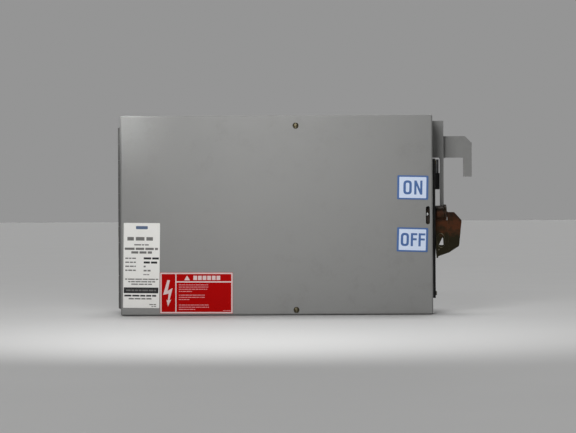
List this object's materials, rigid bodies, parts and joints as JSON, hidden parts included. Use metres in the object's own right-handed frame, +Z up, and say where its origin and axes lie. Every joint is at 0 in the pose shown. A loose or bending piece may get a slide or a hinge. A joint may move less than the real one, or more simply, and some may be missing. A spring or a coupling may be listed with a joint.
{
  "type": "busway plug-in disconnect box",
  "caption": "Grey sheet-steel plug-in disconnect box with hinged cover, side handle, hanger hook, circuit breaker and rear plug-in stabs.",
  "frame": {"origin": "centre of the case's bottom face, midway between the cover's front and the case's rear", "axes": "+X towards the handle side, -Y out of the front cover, +Z up"},
  "size_m": [0.5763, 0.2499, 0.32],
  "materials": {
    "grey_paint": "satin powder coat",
    "dark_steel": "dark satin",
    "zinc_steel": "zinc plated",
    "screw_steel": "yellow-olive plated",
    "bronze_plate": "olive and red-brown chromate plating",
    "black_moulding": "fine matt moulding",
    "red_moulding": "matt moulding",
    "copper": "bare copper",
    "aluminium": "plain",
    "cable_black": "insulation",
    "cable_green": "insulation",
    "label_blue": "printed label",
    "label_white": "printed label",
    "label_red": "printed label"
  },
  "bodies": {
    "enclosure": {"enclosure_body": "grey_paint", "hinge_leaf_case": "grey_paint", "hinge_pin": "zinc_steel", "cover_nut_top": "zinc_steel", "cover_nut_bottom": "zinc_steel", "mechanism_channel": "dark_steel", "guard_bracket": "grey_paint", "guard_bolt_lower": "zinc_steel", "guard_bolt_upper": "zinc_steel", "hanger_hook": "grey_paint", "hook_bolt_lower": "zinc_steel", "hook_bolt_upper": "zinc_steel", "shaft_bushing": "zinc_steel", "shaft_bearing_bracket": "zinc_steel", "interlock_stud_lower": "zinc_steel", "interlock_stud_upper": "zinc_steel", "mounting_pan": "zinc_steel", "breaker_base": "black_moulding", "breaker_cover": "black_moulding", "operator_bridge": "zinc_steel", "slide_stud_left": "zinc_steel", "slide_stud_right": "zinc_steel", "line_lug_a": "aluminium", "line_lug_b": "aluminium", "line_lug_c": "aluminium", "load_lug_a": "aluminium", "load_lug_b": "aluminium", "load_lug_c": "aluminium", "stab_insulator": "red_moulding", "line_stab_a": "copper", "line_stab_b": "copper", "line_stab_c": "copper", "ground_stab": "copper", "ground_bar": "copper", "line_cable_a": "cable_black", "line_cable_b": "cable_black", "line_cable_c": "cable_black", "ground_cable": "cable_green"},
    "cover": {"front_cover": "grey_paint", "hinge_leaf_cover": "grey_paint", "cover_catch": "zinc_steel", "on_label": "label_blue", "off_label": "label_blue", "nameplate": "label_white", "safety_label": "label_red"},
    "screw_top": {"cover_screw_top": "screw_steel"},
    "screw_bottom": {"cover_screw_bottom": "screw_steel"},
    "handle": {"operating_handle": "bronze_plate", "handle_hub": "bronze_plate", "handle_washer": "bronze_plate", "handle_shaft": "zinc_steel", "crank_arm": "zinc_steel", "crank_pin": "zinc_steel", "interlock_eccentric": "zinc_steel"},
    "operator": {"operator_slide": "zinc_steel"},
    "toggle": {"breaker_toggle": "black_moulding"},
    "interlock": {"interlock_slide": "bronze_plate", "interlock_carrier": "dark_steel", "interlock_rod": "zinc_steel"},
    "button": {"trip_button": "red_moulding"}
  },
  "joints": [
    {"name": "cover_hinge", "type": "hinge", "parent": "enclosure", "child": "cover", "pos_m": [-0.2527, -0.07985, 0.16], "axis": [0, 0, -1], "range_deg": [0, 120]},
    {"name": "screw_top_turn", "type": "hinge", "parent": "cover", "child": "screw_top", "pos_m": [0.031, -0.1, 0.303], "axis": [0, 1, 0], "continuous": true},
    {"name": "screw_bottom_turn", "type": "hinge", "parent": "cover", "child": "screw_bottom", "pos_m": [0.031, -0.1, 0.0082], "axis": [0, 1, 0], "continuous": true},
    {"name": "handle_swing", "type": "hinge", "parent": "enclosure", "child": "handle", "pos_m": [0.25, -0.045, 0.16], "axis": [-1, 0, 0], "range_deg": [0, 120]},
    {"name": "operator_travel", "type": "slide", "parent": "enclosure", "child": "operator", "axis": [0, 0, 1], "range_m": [0, 0.0278]},
    {"name": "toggle_throw", "type": "hinge", "parent": "enclosure", "child": "toggle", "pos_m": [0.07, 0.008, 0.16], "axis": [-1, 0, 0], "range_deg": [0, 45.5]},
    {"name": "interlock_lift", "type": "slide", "parent": "enclosure", "child": "interlock", "axis": [0, 0, 1], "range_m": [0, 0.0101]},
    {"name": "button_press", "type": "slide", "parent": "enclosure", "child": "button", "axis": [0, 1, 0], "range_m": [0, 0.002], "stiffness_N_per_m": 300, "springref_m": -0.001}
  ],
  "couplings": [
    {"joint": "operator_travel", "follows": "handle_swing", "m_per_rad": 0.013232},
    {"joint": "toggle_throw", "follows": "handle_swing", "ratio": 0.37758},
    {"joint": "interlock_lift", "follows": "handle_swing", "m_per_rad": 0.0047717}
  ]
}
